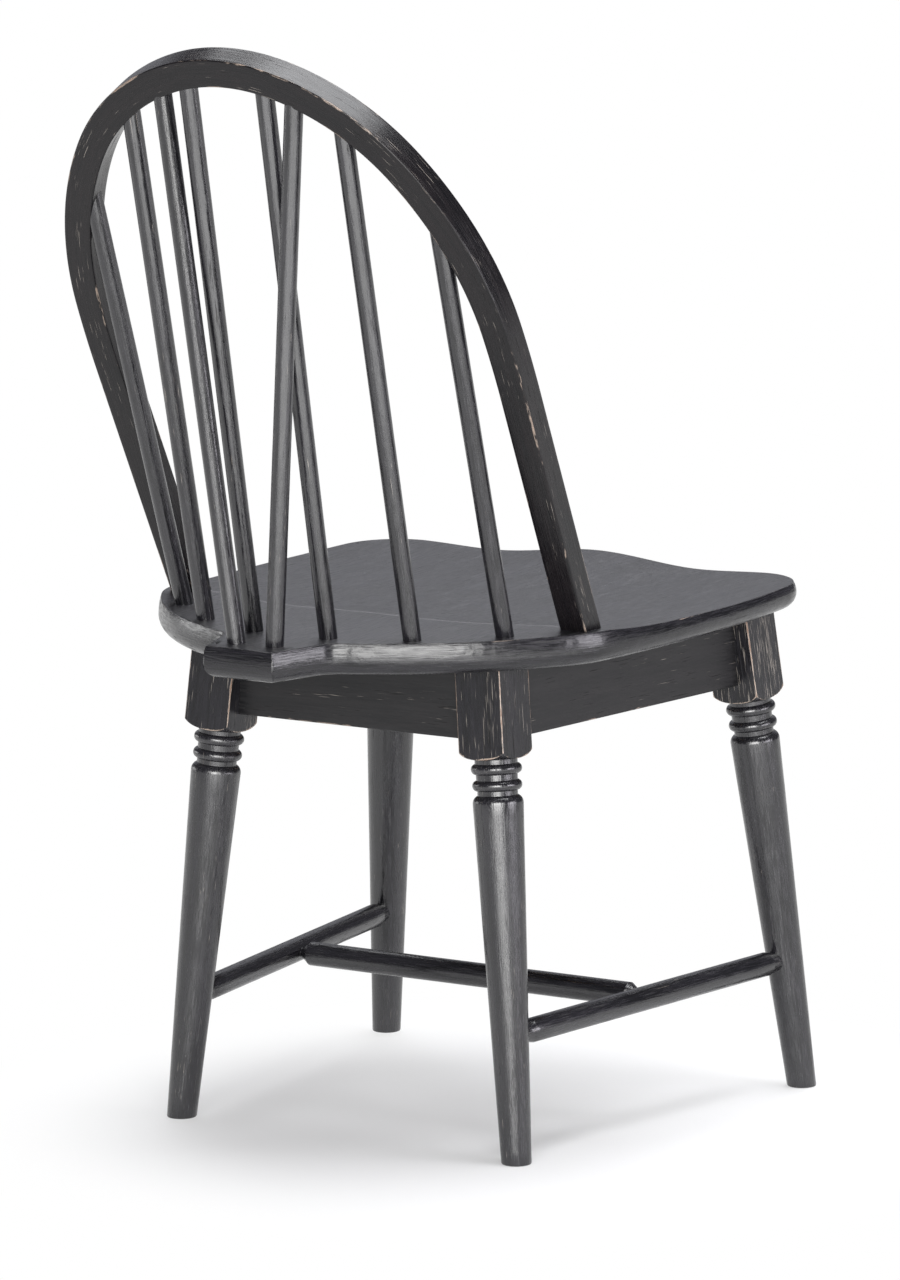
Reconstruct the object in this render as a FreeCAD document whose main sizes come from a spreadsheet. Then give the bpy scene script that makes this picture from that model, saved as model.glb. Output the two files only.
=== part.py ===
import FreeCAD, Part
import math
import os
import re
import Sketcher
from FreeCAD import Placement, Rotation, Vector

# A bow-back chair: saddled seat, bent hoop, eight spindles, and turned legs with aprons and stretchers.
# The chair is drawn level in the seat's own frame, with +Y to the back and heights counted from the
# floor below the middle of the seat. Every finished piece then gets the one placement that pitches
# the seat and centres the chair.

os.makedirs("parts", exist_ok=True)
doc = FreeCAD.newDocument("BowBackChair")

# driving dimensions, in millimetres and degrees
SIZES = {
    "seat_height": 457,
    "seat_pitch": 1.0,
    "depth_shift": -60.5,
    "seat_thick": 28,
    "seat_front": 233,
    "seat_lower_round": 13,
    "tail_flank": 50,
    "saddle_clear": 20,
    "block_width": 45.5,
    "block_corner": 33.5,
    "block_drop": 73.5,
    "block_round": 17,
    "leg_splay": 5.25,
    "leg_rake": 4.5,
    "leg_reach": 450,
    "waste_drop": 455,
    "waste_reach": 41.5,
    "leg_cap": 12,
    "back_leg_x": 135.6,
    "back_leg_y": 147.3,
    "front_leg_x": 182,
    "front_leg_y": -173,
    "bead_radius": 4.7,
    "bead_half": 4.6,
    "bead_drop": 91.2,
    "bead_step": 14.1,
    "ring_high": 18.3,
    "ring_mid": 17.8,
    "ring_low": 17.3,
    "ring_length": 3.8,
    "vase_radius": 21.7,
    "vase_round": 7.5,
    "vase_drop": 120.5,
    "foot_radius": 12.8,
    "foot_drop": 435,
    "apron_thick": 20,
    "apron_height": 67,
    "edge_break": 1,
    "bow_width": 26,
    "bow_depth": 23,
    "bow_edge": 1.2,
    "bow_crown": 538.3,
    "bow_rake": 24.2,
    "bow_y": 109.5,
    "bow_sink": 19,
    "spindle_foot": 7.8,
    "spindle_head": 8,
    "spindle_arc": 211,
    "spindle_arc_y": 40.4,
    "spindle_sink": 16,
    "head_forward": 1.5,
    "brace_x": 19.6,
    "brace_y": 300.7,
    "brace_head_x": 68.1,
    "stretcher_height": 111.6,
    "stretcher_radius": 10.6,
    "tenon_radius": 7.5,
    "tenon_length": 7.5,
    "shoulder_radius": 8.7,
    "shoulder_length": 2,
    "shoulder_round": 60,
    "stretcher_taper": 20,
    "medial_start": 3,
    "medial_clear": 1,
    "medial_neck": 4.5,
    "medial_cone": 9,
    "corner_block_high": 40,
    "corner_block_near": 62,
    "corner_block_far": 95,
    "corner_screw_at": 79,
    "corner_screw_deep": 10,
    "seat_screw_drop": 15,
    "dowel_radius": 4,
    "dowel_length": 34,
    "dowel_start": 7.75,
    "dowel_lift_cross": 16,
    "dowel_lift_side": 6.5,
    "screw_radius": 2.1,
    "screw_head_radius": 4.2,
    "screw_head": 2.6,
    "screw_length": 27,
    "screw_point": 5,
    "screw_bore": 12,
    "screw_bore_radius": 5,
}

sheet = doc.addObject("Spreadsheet::Sheet", "Sizes")
filled = []


def keep(name, amount):
    # one row of the sheet: the name beside its number
    filled.append(name)
    row = len(filled)
    sheet.set("A%d" % row, name)
    sheet.set("B%d" % row, "%.5f" % amount)
    sheet.setAlias("B%d" % row, name)
    sheet.recompute()


for name, amount in SIZES.items():
    keep(name, amount)


def size(expression):
    return float(sheet.evalExpression(expression))


HEIGHT = size("seat_height")
UNDERSIDE = size("seat_height - seat_thick")
pitch = Placement(Vector(), Rotation(Vector(1, 0, 0), -size("seat_pitch")), Vector(0, 0, HEIGHT))
frame = Placement(Vector(0, size("depth_shift"), 0), Rotation()).multiply(pitch)
finished = {}


def linked(expression):
    # the same expression as another object has to write it
    return re.sub(r"[a-z]+(?:_[a-z0-9]+)+", lambda word: "Sizes." + word.group(0), expression)


def body(name):
    made = doc.addObject("PartDesign::Body", name)
    made.Label = name
    return made


def sketch_on(owner, name, plane, offset=0.0):
    # a sketch on one of the body's own planes, moved along that plane's normal
    drawn = owner.newObject("Sketcher::SketchObject", name)
    role = [item for item in owner.Origin.OriginFeatures if item.Role == plane + "_Plane"]
    drawn.AttachmentSupport = (role[0], [""])
    drawn.MapMode = "FlatFace"
    drawn.AttachmentOffset = Placement(Vector(0, 0, offset), Rotation())
    return drawn


def arc_through(start, end, radius):
    # a short arc between two points; a positive radius bulges to the right of the way to go
    chord = end - start
    half = chord.Length / 2
    rise = abs(radius) - math.sqrt(radius * radius - half * half)
    middle = (start + end) / 2 + Vector(chord.y, -chord.x, 0).normalize() * math.copysign(rise, radius)
    if radius < 0:
        start, end = end, start
    return Part.Arc(start, middle, end)


def trace(drawn, corners):
    # a closed outline; each corner is (x, y) or (x, y, radius of the arc that leads to it)
    points = [Vector(size(c[0]), size(c[1]), 0) for c in corners]
    for here, corner in enumerate(corners):
        start, end = points[here - 1], points[here]
        if len(corner) == 3:
            edge = arc_through(start, end, size(corner[2]))
        else:
            edge = Part.LineSegment(start, end)
        drawn.addGeometry(edge, False)
    for here, corner in enumerate(corners):
        edge = drawn.Geometry[here]
        last = 2
        if len(corner) == 3 and (edge.StartPoint - points[here]).Length < 1e-6:
            last = 1
        for kind, text in (("DistanceX", corner[0]), ("DistanceY", corner[1])):
            amount = size(text)
            row = drawn.addConstraint(Sketcher.Constraint(kind, -1, 1, here, last, amount))
            if re.search("[a-z]", text):
                drawn.setExpression("Constraints[%d]" % row, linked(text))
    for here in range(len(corners)):
        after = (here + 1) % len(corners)
        ends = []
        for edge_number, point in ((here, points[here]), (after, points[here])):
            edge = drawn.Geometry[edge_number]
            ends.append(1 if (edge.StartPoint - point).Length < 1e-6 else 2)
        drawn.addConstraint(Sketcher.Constraint("Coincident", here, ends[0], after, ends[1]))
    for here, corner in enumerate(corners):
        if len(corner) == 3:
            row = drawn.addConstraint(Sketcher.Constraint("Radius", here, abs(size(corner[2]))))
            if re.search("[a-z]", corner[2]):
                drawn.setExpression("Constraints[%d]" % row, linked("abs(%s)" % corner[2]))


def rectangle(drawn, half_x, half_y):
    trace(drawn, [(half_x, "-" + half_y), (half_x, half_y), ("-" + half_x, half_y), ("-" + half_x, "-" + half_y)])


def turned(name, corners):
    # a piece from the lathe: the outline goes round the Z axis
    made = body(name)
    drawn = sketch_on(made, name + "_profile", "XZ")
    trace(drawn, corners)
    spin = made.newObject("PartDesign::Revolution", name + "_turn")
    spin.Profile = drawn
    spin.ReferenceAxis = (drawn, ["V_Axis"])
    spin.Angle = 360
    return made


def padded(owner, drawn, length, name, reverse=False, middle=False):
    pad = owner.newObject("PartDesign::Pad", name)
    pad.Profile = drawn
    pad.setExpression("Length", linked(length))
    pad.Reversed = reverse
    pad.Midplane = middle
    return pad


def lay(item, start, end, across=Vector(1, 0, 0)):
    # the piece's own Z runs from start to end, given in the seat's frame
    level = Placement(start, Rotation(across, Vector(), end - start, "ZXY"))
    item.Placement = frame.multiply(level)


def edges_where(shape, test):
    return ["Edge%d" % n for n, edge in enumerate(shape.Edges, start=1) if test(edge.BoundBox)]


def rounded(owner, name, base, test, radius):
    # the edges of the base that pass the test, rounded over
    doc.recompute()
    fillet = owner.newObject("PartDesign::Fillet", name)
    fillet.Base = (base, edges_where(base.Shape, test))
    fillet.setExpression("Radius", linked(radius))
    return fillet


def upright(box):
    return box.XLength < 1e-4 and box.YLength < 1e-4


def group(name, pieces):
    bundle = doc.addObject("Part::Compound", name)
    bundle.Links = pieces
    return bundle


def less(name, base, tool):
    cut = doc.addObject("Part::Cut", name)
    cut.Base = base
    cut.Tool = tool
    cut.Label = name
    return cut


# the seat: a shield outline with a tail, rounded below and saddled above

# each stretch of the half outline, from the front's middle: its radius, and the heading where it ends
SEAT_STRETCHES = [(3900, 2.6), (62, 84), (1100, 98.4), (90, 121.8), (322, 157.8), (-25, 108)]

# each section of the saddle: its y, then the heights at the middle, thigh, hip and rim
SADDLE = [
    (165, 3.0, 3.5, 5.5, 8.0),
    (130, 0.0, -0.2, 1.8, 3.5),
    (95, -3.5, -4.0, -2.0, -0.8),
    (50, -6.5, -7.5, -5.8, -4.3),
    (-20, -8.5, -10.0, -8.2, -6.2),
    (-100, -8.0, -11.0, -9.4, -7.2),
    (-170, -4.5, -10.5, -8.8, -6.6),
    (-235, -1.5, -9.5, -7.2, -5.2),
    (-262, -1.0, -9.3, -7.0, -4.6),
]
SADDLE_ACROSS = (0, 100, 165, 222)


def seat_outline(drawn):
    # the right half as a chain of tangent arcs, then its mirror image
    here = Vector(0, -size("seat_front"), 0)
    heading = 0.0
    half = []
    for radius, stop in SEAT_STRETCHES:
        turn = math.copysign(1, radius)
        middle = here + turn * abs(radius) * Vector(-math.sin(heading), math.cos(heading), 0)
        steps = []
        for part_way in (0.5, 1.0):
            angle = heading + (math.radians(stop) - heading) * part_way
            steps.append(middle + turn * abs(radius) * Vector(math.sin(angle), -math.cos(angle), 0))
        half.append(Part.Arc(here, steps[0], steps[1]))
        here = steps[1]
        heading = math.radians(stop)
    tail = here + size("tail_flank") * Vector(math.cos(heading), math.sin(heading), 0)
    half.append(Part.LineSegment(here, tail))
    for edge in half:
        drawn.addGeometry(edge, False)
    flip = FreeCAD.Matrix()
    flip.A11 = -1
    for edge in half:
        points = [edge.value(t) for t in (
            edge.FirstParameter, (edge.FirstParameter + edge.LastParameter) / 2, edge.LastParameter)]
        points = [flip.multVec(point) for point in points]
        if isinstance(edge, Part.LineSegment):
            drawn.addGeometry(Part.LineSegment(points[0], points[2]), False)
        else:
            drawn.addGeometry(Part.Arc(*points), False)
    drawn.addGeometry(Part.LineSegment(tail, flip.multVec(tail)), False)
    for number in range(drawn.GeometryCount):
        drawn.addConstraint(Sketcher.Constraint("Block", number))


def saddle_section(drawn, heights):
    # one cross-section of what the carver takes away, open to above the seat
    across = list(SADDLE_ACROSS) + [270]
    levels = list(heights) + [2 * heights[3] - heights[2]]
    right = [Vector(x, z, 0) for x, z in zip(across, levels)]
    left = [Vector(-point.x, point.y, 0) for point in right[:0:-1]]
    curve = Part.BSplineCurve()
    curve.interpolate(left + right)
    lid = size("saddle_clear")
    ends = [left[0], right[-1]]
    drawn.addGeometry(curve, False)
    drawn.addGeometry(Part.LineSegment(ends[1], Vector(ends[1].x, lid, 0)), False)
    drawn.addGeometry(Part.LineSegment(Vector(ends[1].x, lid, 0), Vector(ends[0].x, lid, 0)), False)
    drawn.addGeometry(Part.LineSegment(Vector(ends[0].x, lid, 0), ends[0]), False)
    for number in range(4):
        drawn.addConstraint(Sketcher.Constraint("Block", number))


seat_blank = body("seat_blank")
outline = sketch_on(seat_blank, "seat_outline", "XY")
seat_outline(outline)
plank = padded(seat_blank, outline, "seat_thick", "seat_plank", reverse=True)
doc.recompute()



def under_rim(box):
    return box.ZMax < 1e-4 - size("seat_thick")


rounded(seat_blank, "seat_lower_edge", plank, under_rim, "seat_lower_round")
doc.recompute()
sections = []
for number, (station, *heights) in enumerate(SADDLE):
    section = sketch_on(seat_blank, "saddle_section_%d" % number, "XZ", -station)
    saddle_section(section, heights)
    sections.append(section)
doc.recompute()
saddle = seat_blank.newObject("PartDesign::SubtractiveLoft", "saddle")
saddle.Profile = sections[0]
saddle.Sections = sections[1:]
doc.recompute()
seat_blank.Placement = frame.multiply(Placement(Vector(0, 0, HEIGHT), Rotation()))


# the hoop: one bent stick, drawn as half of its middle line and mirrored

# radius of each bend's middle line, and the heading below the level where it ends
BENDS = [(167.5, 17), (202.3, 55.4), (294.1, 87.8), (971.6, 91.55)]


def bow_chain():
    # each bend is its start, middle, end and centre points and its radius; then comes the straight foot
    here = Vector(0, size("bow_crown"), 0)
    heading = 0.0
    bends = []
    for radius, stop in BENDS:
        centre = here - radius * Vector(math.sin(heading), math.cos(heading), 0)
        stations = []
        for part_way in (0.5, 1.0):
            angle = heading + (math.radians(stop) - heading) * part_way
            stations.append(centre + radius * Vector(math.sin(angle), math.cos(angle), 0))
        bends.append((here, stations[0], stations[1], centre, radius))
        here = stations[1]
        heading = math.radians(stop)
    drop = (here.y + size("bow_sink")) / math.sin(heading)
    foot = here + drop * Vector(math.cos(heading), -math.sin(heading), 0)
    return bends, (here, foot)


def bow_height(x):
    # where the middle line stands over x, in the plane of the hoop
    bends, straight = bow_chain()
    for start, _, end, centre, radius in bends:
        if start.x <= x <= end.x:
            return centre.y + math.sqrt(radius ** 2 - (x - centre.x) ** 2)
    return straight[0].y


hoop = body("hoop")
hoop_line = sketch_on(hoop, "hoop_line", "XY")
bends, straight = bow_chain()
for bend in bends:
    hoop_line.addGeometry(Part.Arc(*bend[:3]), False)
hoop_line.addGeometry(Part.LineSegment(*straight), False)
for number in range(hoop_line.GeometryCount):
    hoop_line.addConstraint(Sketcher.Constraint("Block", number))
hoop_stick = sketch_on(hoop, "hoop_section", "YZ")
across, deep, edge = "bow_width / 2", "bow_depth / 2", "bow_edge"
trace(hoop_stick, [
    ("bow_crown - %s + %s" % (across, edge), "-%s" % deep),
    ("bow_crown + %s - %s" % (across, edge), "-%s" % deep),
    ("bow_crown + %s" % across, "-%s + %s" % (deep, edge), edge),
    ("bow_crown + %s" % across, "%s - %s" % (deep, edge)),
    ("bow_crown + %s - %s" % (across, edge), deep, edge),
    ("bow_crown - %s + %s" % (across, edge), deep),
    ("bow_crown - %s" % across, "%s - %s" % (deep, edge), edge),
    ("bow_crown - %s" % across, "-%s + %s" % (deep, edge)),
    ("bow_crown - %s + %s" % (across, edge), "-%s" % deep, edge),
][1:])
doc.recompute()
half_hoop = hoop.newObject("PartDesign::AdditivePipe", "half_hoop")
half_hoop.Profile = hoop_stick
half_hoop.Spine = (hoop_line, ["Edge%d" % n for n in range(1, hoop_line.GeometryCount + 1)])
half_hoop.Mode = "Standard"
doc.recompute()
whole_hoop = hoop.newObject("PartDesign::Mirrored", "whole_hoop")
whole_hoop.Originals = [half_hoop]
mirror_plane = [item for item in hoop.Origin.OriginFeatures if item.Role == "YZ_Plane"]
whole_hoop.MirrorPlane = (mirror_plane[0], [""])
hoop.Tip = whole_hoop
lean = math.radians(size("bow_rake"))
raked = Rotation(Vector(1, 0, 0), 90 - size("bow_rake"))
hoop.Placement = frame.multiply(Placement(Vector(0, size("bow_y"), HEIGHT), raked))


def on_hoop(x):
    # where a stick's head ends over x, in the seat's frame: a little before the hoop's middle line
    up, forward = bow_height(abs(x)), size("head_forward")
    y = size("bow_y") + up * math.sin(lean) - forward * math.cos(lean)
    return Vector(x, y, HEIGHT + up * math.cos(lean) + forward * math.sin(lean))


# the spindles: six round an arc in the seat, and two braces from the tail

# each spindle of one side: how far round the arc its foot stands, and how far out its head is
FAN = {"inner": (10.4, 38.6), "middle": (30.3, 107.4), "outer": (51.8, 176)}

feet = {}
heads = {}
for name, (turn, out) in FAN.items():
    angle = math.radians(turn)
    reach = size("spindle_arc")
    feet[name] = Vector(
        reach * math.sin(angle), size("spindle_arc_y") + reach * math.cos(angle), HEIGHT)
    heads[name] = out
feet["brace"] = Vector(size("brace_x"), size("brace_y"), HEIGHT)
heads["brace"] = size("brace_head_x")
spindles = []
for name in feet:
    head = on_hoop(heads[name])
    keep("length_" + name, (head - feet[name]).Length + size("spindle_sink"))
    for side, sign in (("right", 1), ("left", -1)):
        label = "%s_spindle_%s" % (side, name)
        stick = turned(label, [
            ("0", "0"),
            ("spindle_foot", "0"),
            ("spindle_head", "length_%s" % name),
            ("0", "length_%s" % name),
        ])
        start = Vector(sign * feet[name].x, feet[name].y, HEIGHT)
        end = on_hoop(sign * heads[name])
        way = (end - start).normalize()
        lay(stick, start - way * size("spindle_sink"), end)
        spindles.append(stick)
spindle_set = group("spindle_set", spindles)


# the legs: a square stick whose lower length is turned away to the profile

def leg_line(end_name, sign):
    # where a leg's middle line leaves the seat, and its direction down to the floor
    outward = math.tan(math.radians(size("leg_splay")))
    apart = math.tan(math.radians(size("leg_rake")))
    if end_name == "front":
        apart = -apart
    start = Vector(sign * size("%s_leg_x" % end_name), size("%s_leg_y" % end_name), UNDERSIDE)
    return start, Vector(sign * outward, apart, -1).normalize()


def leg_point(end_name, sign, level):
    start, way = leg_line(end_name, sign)
    return start + way * ((level - start.z) / way.z)


LEG_WASTE = [
    ("block_corner", "-block_drop"),
    ("ring_high", "-bead_drop + bead_half + ring_length", "-block_round"),
    ("ring_high", "-bead_drop + bead_half"),
    ("ring_mid", "-bead_drop - bead_half", "-bead_radius"),
    ("ring_mid", "-bead_drop - bead_step + bead_half"),
    ("ring_low", "-bead_drop - bead_step - bead_half", "-bead_radius"),
    ("ring_low", "-bead_drop - bead_step - bead_half - ring_length"),
    ("vase_radius", "-vase_drop", "-vase_round"),
    ("foot_radius", "-foot_drop"),
    ("foot_radius", "-waste_drop"),
    ("waste_reach", "-waste_drop"),
    ("waste_reach", "-block_drop"),
]


def raw_leg(name):
    # the square stick hangs from the seat along its own -Z, and the lathe turns its lower length
    made = body(name)
    square = sketch_on(made, name + "_square", "XY")
    square.AttachmentOffset = Placement(Vector(0, 0, size("leg_cap")), Rotation())
    rectangle(square, "block_width / 2", "block_width / 2")
    stick = padded(made, square, "leg_cap + leg_reach", name + "_stick", reverse=True)
    rounded(made, name + "_corners", stick, upright, "edge_break")
    doc.recompute()
    whole = made.Shape.Volume
    waste = sketch_on(made, name + "_waste", "XZ")
    trace(waste, LEG_WASTE)
    lathe = made.newObject("PartDesign::Groove", name + "_turning")
    lathe.Profile = waste
    lathe.ReferenceAxis = (waste, ["V_Axis"])
    lathe.Angle = 360
    doc.recompute()
    if made.Shape.Volume > 0.8 * whole:
        raise RuntimeError("the turning of %s took nothing away" % name)
    return made


raw_legs = {}
for end_name in ("back", "front"):
    for side, sign in (("right", 1), ("left", -1)):
        stick = raw_leg("%s_%s_leg_stick" % (end_name, side))
        start, way = leg_line(end_name, sign)
        lay(stick, start, start - way)
        raw_legs[end_name, side] = stick
leg_sticks = group("leg_sticks", list(raw_legs.values()))

# what lies above the seat's underside, and what lies below the floor
off_side, off_high = 900, 100
above = doc.addObject("Part::Box", "above_underside")
below = doc.addObject("Part::Box", "below_floor")
for box in (above, below):
    box.Length = off_side
    box.Width = off_side
    box.Height = off_high
off_corner = Vector(-off_side / 2, -off_side / 2, 0)
above.Placement = frame.multiply(Placement(off_corner + Vector(0, 0, UNDERSIDE), Rotation()))
below.Placement = Placement(off_corner - Vector(0, 0, off_high), Rotation())
off_cuts = group("off_cuts", [above, below])


# the stretchers: one along each side, and one across between them

level = size("stretcher_height")
keep("side_length", (leg_point("back", 1, level) - leg_point("front", 1, level)).Length)
stretchers = []
middles = {}
for side, sign in (("right", 1), ("left", -1)):
    back = leg_point("back", sign, level)
    front = leg_point("front", sign, level)
    middles[side] = (back + front) / 2
    stick = turned("%s_stretcher" % side, [
        ("0", "0"),
        ("tenon_radius", "0"),
        ("shoulder_radius", "tenon_length + shoulder_length"),
        ("stretcher_radius", "tenon_length + stretcher_taper", "shoulder_round"),
        ("stretcher_radius", "side_length - tenon_length - stretcher_taper"),
        ("shoulder_radius", "side_length - tenon_length - shoulder_length", "shoulder_round"),
        ("tenon_radius", "side_length"),
        ("0", "side_length"),
    ])
    lay(stick, front, back)
    stretchers.append(stick)
keep("medial_length", (middles["right"] - middles["left"]).Length)
medial_stick = turned("medial_stick", [
    ("0", "medial_start"),
    ("medial_neck", "medial_start"),
    ("medial_neck", "stretcher_radius + medial_clear"),
    ("stretcher_radius", "stretcher_radius + medial_clear + medial_cone"),
    ("stretcher_radius", "medial_length - stretcher_radius - medial_clear - medial_cone"),
    ("medial_neck", "medial_length - stretcher_radius - medial_clear"),
    ("medial_neck", "medial_length - medial_start"),
    ("0", "medial_length - medial_start"),
])
lay(medial_stick, middles["left"], middles["right"], Vector(0, 0, 1))
side_stretchers = group("side_stretchers", stretchers)


# the aprons: four boards between the leg blocks, each set back from the blocks' faces

half_level = UNDERSIDE - size("apron_height / 2")
corners = {key: leg_point(key[0], 1 if key[1] == "right" else -1, half_level) for key in raw_legs}

# each board: the leg it starts at, the leg it ends at, and the lift of its dowels
APRONS = {
    "back_apron": (("back", "left"), ("back", "right"), "dowel_lift_cross"),
    "front_apron": (("front", "left"), ("front", "right"), "dowel_lift_cross"),
    "right_apron": (("front", "right"), ("back", "right"), "dowel_lift_side"),
    "left_apron": (("front", "left"), ("back", "left"), "dowel_lift_side"),
}
boards = {}
dowels = []


def board_between(name, start, end):
    # a plain plank on edge, whose length goes to the sheet as well
    length = "length_" + name
    keep(length, (end - start).Length)
    board = body(name + "_board")
    drawn = sketch_on(board, name + "_end", "XY")
    rectangle(drawn, "apron_thick / 2", "apron_height / 2")
    plank = padded(board, drawn, length, name + "_pad")
    rounded(board, name + "_edges", plank, upright, "edge_break")
    lay(board, start, end, (end - start).cross(Vector(0, 0, 1)))
    return board


def dowels_at(corner, way, lift):
    # one dowel above and one below the middle of the joint, partly in the leg and partly in the board
    first = corner + way * size("dowel_start")
    for height in (-size(lift), size(lift)):
        dowel = doc.addObject("Part::Cylinder", "dowel")
        dowel.setExpression("Radius", "Sizes.dowel_radius")
        dowel.setExpression("Height", "Sizes.dowel_length")
        start = first + Vector(0, 0, height)
        lay(dowel, start, start + way, Vector(0, 0, 1))
        dowels.append(dowel)


for name, (first, last, lift) in APRONS.items():
    start, end = corners[first], corners[last]
    boards[name] = board_between(name, start, end)
    run = (end - start).normalize()
    dowels_at(start, run, lift)
    dowels_at(end, -run, lift)
dowel_set = group("apron_dowels", dowels)


# the corner blocks: glued and screwed across each inside corner, and screwed up into the seat

corner_blocks = {}
corner_screws = []
seat_screws = []
bores = []


def screw_at(name, head, way, bore, across):
    # a countersunk wood screw from its head along the way it is driven, and the bore behind its head
    made = turned(name, [
        ("0", "0"),
        ("screw_head_radius", "0"),
        ("screw_radius", "screw_head"),
        ("screw_radius", "screw_length - screw_point"),
        ("0", "screw_length"),
    ])
    lay(made, head, head + way, across)
    hole = doc.addObject("Part::Cylinder", name + "_bore")
    hole.setExpression("Radius", "Sizes.screw_bore_radius")
    hole.setExpression("Height", linked(bore))
    lay(hole, head, head - way, across)
    bores.append(hole)
    return made


def flat(vector):
    return Vector(vector.x, vector.y, 0).normalize()


def inner_corner(end_name, side, sign):
    # where the inner faces of the two aprons meet, and the ways along each of them from there
    corner = corners[end_name, side]
    far = corners["front" if end_name == "back" else "back", side]
    cross_way = Vector(-sign, 0, 0)
    side_way = flat(far - corner)
    half = size("apron_thick / 2")
    cross_face = corner + Vector(0, math.copysign(half, side_way.y), 0)
    side_in = Vector(-sign * abs(side_way.y), sign * side_way.x * math.copysign(1, side_way.y), 0)
    side_face = corner + side_in * half
    meet = side_face + side_way * ((cross_face.y - side_face.y) / side_way.y)
    meet.z = 0
    return meet, cross_way, side_way, Vector(0, math.copysign(1, side_way.y), 0), side_in


for (end_name, side) in raw_legs:
    sign = 1 if side == "right" else -1
    meet, cross_way, side_way, cross_in, side_in = inner_corner(end_name, side, sign)
    near, far = size("corner_block_near"), size("corner_block_far")
    made = body("corner_block_%s_%s_wood" % (end_name, side))
    plan = sketch_on(made, made.Name + "_plan", "XY")
    loop = [meet + cross_way * near, meet + cross_way * far, meet + side_way * far, meet + side_way * near]
    for here in range(4):
        plan.addGeometry(Part.LineSegment(loop[here], loop[(here + 1) % 4]), False)
        plan.addConstraint(Sketcher.Constraint("Block", here))
    padded(made, plan, "corner_block_high", made.Name + "_pad", reverse=True)
    made.Placement = frame.multiply(Placement(Vector(0, 0, UNDERSIDE), Rotation()))
    corner_blocks[end_name, side] = made
    middle = Vector(0, 0, UNDERSIDE - size("corner_block_high / 2"))
    for way, inward in ((cross_way, cross_in), (side_way, side_in)):
        head = meet + way * size("corner_screw_at") + inward * size("corner_screw_deep") + middle
        name = "corner_screw_%d" % (len(corner_screws) + 1)
        corner_screws.append(screw_at(name, head, -inward, "screw_bore", Vector(0, 0, 1)))
    centre = (loop[0] + loop[1] + loop[2] + loop[3]) / 4
    head = centre + Vector(0, 0, UNDERSIDE - size("seat_screw_drop"))
    name = "seat_screw_%d" % (len(seat_screws) + 1)
    bore = "corner_block_high - seat_screw_drop + 1"
    seat_screws.append(screw_at(name, head, Vector(0, 0, 1), bore, Vector(1, 0, 0)))
bore_set = group("screw_bores", bores)
corner_screw_set = group("corner_screws", corner_screws)
seat_screw_set = group("seat_screws", seat_screws)
doc.recompute()


# the finished pieces: each is its blank less what is let into it

finished["seat"] = less("seat", seat_blank, group("into_seat", [spindle_set, hoop, seat_screw_set]))
finished["bow"] = less("bow", hoop, spindle_set)
for stick in spindles:
    finished[stick.Label] = stick
for (end_name, side), stick in raw_legs.items():
    label = "%s_%s_leg" % (end_name, side)
    into = group("into_" + label, [off_cuts, side_stretchers, dowel_set])
    finished[label] = less(label, stick, into)
for name, board in boards.items():
    finished[name] = less(name, board, group("into_" + name, [leg_sticks, dowel_set, corner_screw_set]))
for stick in stretchers:
    label = stick.Label
    stick.Label = label + "_stick"
    finished[label] = less(label, stick, medial_stick)
finished["medial_stretcher"] = medial_stick
for (end_name, side), made in corner_blocks.items():
    label = "corner_block_%s_%s" % (end_name, side)
    into = group("into_" + label, [corner_screw_set, seat_screw_set, bore_set])
    finished[label] = less(label, made, into)
finished["apron_dowels"] = dowel_set
finished["corner_block_screws"] = corner_screw_set
finished["seat_screws"] = seat_screw_set
doc.recompute()

# the check of every object, then the files
for item in doc.Objects:
    if "Invalid" in item.State or "Error" in item.State:
        raise RuntimeError("%s failed: %s" % (item.Label, item.State))
for label, made in finished.items():
    shape = made.Shape
    if shape.isNull() or not shape.isValid():
        raise RuntimeError("%s has no valid solid" % label)
    shape.exportStep("parts/%s.step" % label)
    mesh = shape.copy()
    mesh.tessellate(0.5)
    box = mesh.BoundBox
    print(label, len(shape.Solids), "x %.1f %.1f y %.1f %.1f z %.1f %.1f" % (
        box.XMin, box.XMax, box.YMin, box.YMax, box.ZMin, box.ZMax))
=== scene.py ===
import bpy
import bmesh
import numpy
from math import asin, copysign, cos, degrees, pi, radians, sin, sqrt, tan
from mathutils import Matrix, Vector
from mathutils.geometry import delaunay_2d_cdt


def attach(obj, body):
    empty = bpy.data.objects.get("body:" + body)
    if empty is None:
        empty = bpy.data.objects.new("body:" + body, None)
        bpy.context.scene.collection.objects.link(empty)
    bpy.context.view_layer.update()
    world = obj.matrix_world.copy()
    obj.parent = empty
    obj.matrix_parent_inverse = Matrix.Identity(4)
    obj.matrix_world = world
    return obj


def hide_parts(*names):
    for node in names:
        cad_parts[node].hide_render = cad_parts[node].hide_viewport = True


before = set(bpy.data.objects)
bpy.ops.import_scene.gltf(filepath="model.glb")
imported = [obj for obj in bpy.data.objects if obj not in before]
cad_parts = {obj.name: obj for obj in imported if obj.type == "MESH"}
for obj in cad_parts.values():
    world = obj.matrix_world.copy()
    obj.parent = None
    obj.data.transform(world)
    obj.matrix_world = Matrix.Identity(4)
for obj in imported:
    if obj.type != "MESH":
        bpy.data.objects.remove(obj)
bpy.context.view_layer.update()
scene = bpy.context.scene
scene.view_settings.view_transform = "Standard"
print("frame loaded,", len(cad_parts), "nodes")

# the chair is drawn with a level seat, then pitched about the seat's middle and moved over its feet
stance = {"seatTop": 0.457, "seatThick": 0.028, "pitch": 1.0, "shift": -0.0605}
turnAbout = Matrix.Translation((0, 0, stance["seatTop"]))
pitchBack = Matrix.Rotation(radians(-stance["pitch"]), 4, "X")
stand = Matrix.Translation((0, stance["shift"], 0)) @ turnAbout @ pitchBack @ turnAbout.inverted()
underSeat = stance["seatTop"] - stance["seatThick"]


# node helpers

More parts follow.
